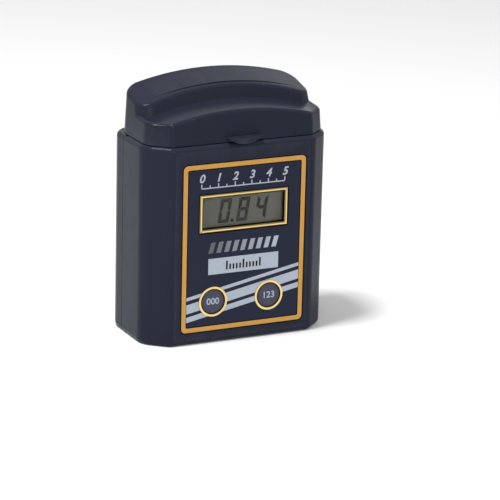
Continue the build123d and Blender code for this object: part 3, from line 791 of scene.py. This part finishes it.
# Keys: two round moulded caps that sink in their rings, with a printed film on top, navy in the
# middle and brown-black at the rim. Each has a plain number in pale ink.
key_material, key_tree, key_shader = new_material("key_film")
key_place = key_tree.nodes.new("ShaderNodeTexCoord")
reaches = []
for x, z in key_centres:
    apart = key_tree.nodes.new("ShaderNodeVectorMath")
    apart.operation = "SUBTRACT"
    apart.inputs[1].default_value = (x, 0, z)
    flat = key_tree.nodes.new("ShaderNodeVectorMath")
    flat.operation = "MULTIPLY"
    flat.inputs[1].default_value = (1, 0, 1)
    reach = key_tree.nodes.new("ShaderNodeVectorMath")
    reach.operation = "LENGTH"
    key_tree.links.new(key_place.outputs["Object"], apart.inputs[0])
    key_tree.links.new(apart.outputs["Vector"], flat.inputs[0])
    key_tree.links.new(flat.outputs["Vector"], reach.inputs[0])
    reaches.append(reach.outputs["Value"])
nearest = key_tree.nodes.new("ShaderNodeMath")
nearest.operation = "MINIMUM"
key_tree.links.new(reaches[0], nearest.inputs[0])
key_tree.links.new(reaches[1], nearest.inputs[1])
key_plain_radius = 3.2 * mm
key_rim_radius = 5.0 * mm
rim = key_tree.nodes.new("ShaderNodeMapRange")
rim.interpolation_type = "SMOOTHSTEP"
rim.inputs["From Min"].default_value = key_plain_radius
rim.inputs["From Max"].default_value = key_rim_radius
key_tree.links.new(nearest.outputs[0], rim.inputs["Value"])
key_colour = blend_colours(
    key_tree, rim.outputs["Result"], (0.022, 0.025, 0.058, 1), (0.020, 0.013, 0.014, 1)
)
key_tree.links.new(key_colour, key_shader.inputs["Base Color"])
key_tree.links.new(remap(key_tree, rim.outputs["Result"], 0.38, 0.5), key_shader.inputs["Roughness"])
dress(key_material, "zero_button", "read_button")

key_texts = {"zero_button": "000", "read_button": "123"}
key_text_size = 3.7 * mm
key_text_weight = 0.05 * mm
for name, centre in zip(key_texts, key_centres):
    key_low, key_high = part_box(name)
    legend = number_print(
        name.replace("_button", "_legend"),
        key_texts[name],
        centre[0],
        centre[1],
        key_text_size,
        key_low.y - print_thickness,
        print_thickness,
        weight=key_text_weight,
    )
    finish_print(legend, pale_ink, body=name)


# Electronics: a green solder-masked board on the casing's standoffs, with black resin packages,
# two press switches and the display's nylon holder. Two small boards of the same kind carry the
# lamp and the detector.
def simple(name, dark, pale, rough, metal=0.0, scale=400, depth=0.00001):
    """A material with a soft mottle and a faint bump."""
    rough_spread = 0.06
    material, tree, shader = new_material(name)
    mottle = add_mottle(tree, scale=scale, detail=4)
    tree.links.new(blend_colours(tree, mottle, dark, pale), shader.inputs["Base Color"])
    patchy = remap(tree, mottle, rough + rough_spread, rough - rough_spread)
    tree.links.new(patchy, shader.inputs["Roughness"])
    shader.inputs["Metallic"].default_value = metal
    bump(tree, mottle, shader, depth)
    return material


solder_mask = simple("solder_mask", (0.01, 0.09, 0.03, 1), (0.02, 0.13, 0.05, 1), rough=0.35)
dress(solder_mask, "main_board", "led_board", "detector_board")
package_resin = simple("package_resin", (0.010, 0.010, 0.011, 1), (0.016, 0.016, 0.017, 1), rough=0.6)
dress(package_resin, "board_chips")
black_nylon = simple("black_nylon", (0.013, 0.013, 0.014, 1), (0.022, 0.022, 0.024, 1), rough=0.5)
dress(black_nylon, "lcd_holder", "zero_plunger", "read_plunger")
switch_housing = simple("switch_housing", (0.012, 0.012, 0.012, 1), (0.020, 0.020, 0.020, 1), rough=0.3)
dress(switch_housing, "zero_switch", "read_switch", "battery_snap")
contact_rubber = simple(
    "contact_rubber", (0.16, 0.16, 0.16, 1), (0.30, 0.30, 0.30, 1), rough=0.7, scale=2500
)
dress(contact_rubber, "zebra_strips")


# Optics: the black moulded well with its two arms, under the deck, and in the arms a clear lamp
# and a green glass filter in front of the detector.
well_plastic = simple(
    "well_plastic",
    (0.008, 0.008, 0.009, 1),
    (0.014, 0.014, 0.015, 1),
    rough=0.7,
    scale=1500,
    depth=0.00003,
)
dress(well_plastic, "cell_holder")
lamp_resin = simple("lamp_resin", (0.60, 0.64, 0.68, 1), (0.70, 0.74, 0.78, 1), rough=0.2)
dress(lamp_resin, "led")
filter_glass = simple("filter_glass", (0.05, 0.40, 0.22, 1), (0.08, 0.50, 0.30, 1), rough=0.12)
dress(filter_glass, "optical_filter")


# Metal: plated steel screws, hinge pin, battery terminals and detector can, and the turned brass
# inserts that the casing's screws bite into.
plated_steel = simple(
    "plated_steel", (0.42, 0.43, 0.45, 1), (0.55, 0.56, 0.58, 1), rough=0.3, metal=1.0, scale=900
)
dress(plated_steel, "deck_screws", "board_screws", "case_screws")
dress(plated_steel, "hinge_pin", "battery_terminals", "detector")
turned_brass = simple("turned_brass", (0.45, 0.30, 0.09, 1), (0.60, 0.42, 0.14, 1), rough=0.35, metal=1.0)
dress(turned_brass, "screw_inserts")


# Battery: a nine-volt block in a plain dark metal jacket, which lies in a moulded cradle behind
# the door.
battery_jacket = simple(
    "battery_jacket", (0.030, 0.031, 0.034, 1), (0.050, 0.051, 0.055, 1), rough=0.35, metal=0.3
)
dress(battery_jacket, "battery")
tray_plastic = simple("tray_plastic", (0.020, 0.021, 0.024, 1), (0.030, 0.031, 0.034, 1), rough=0.55)
dress(tray_plastic, "battery_tray")
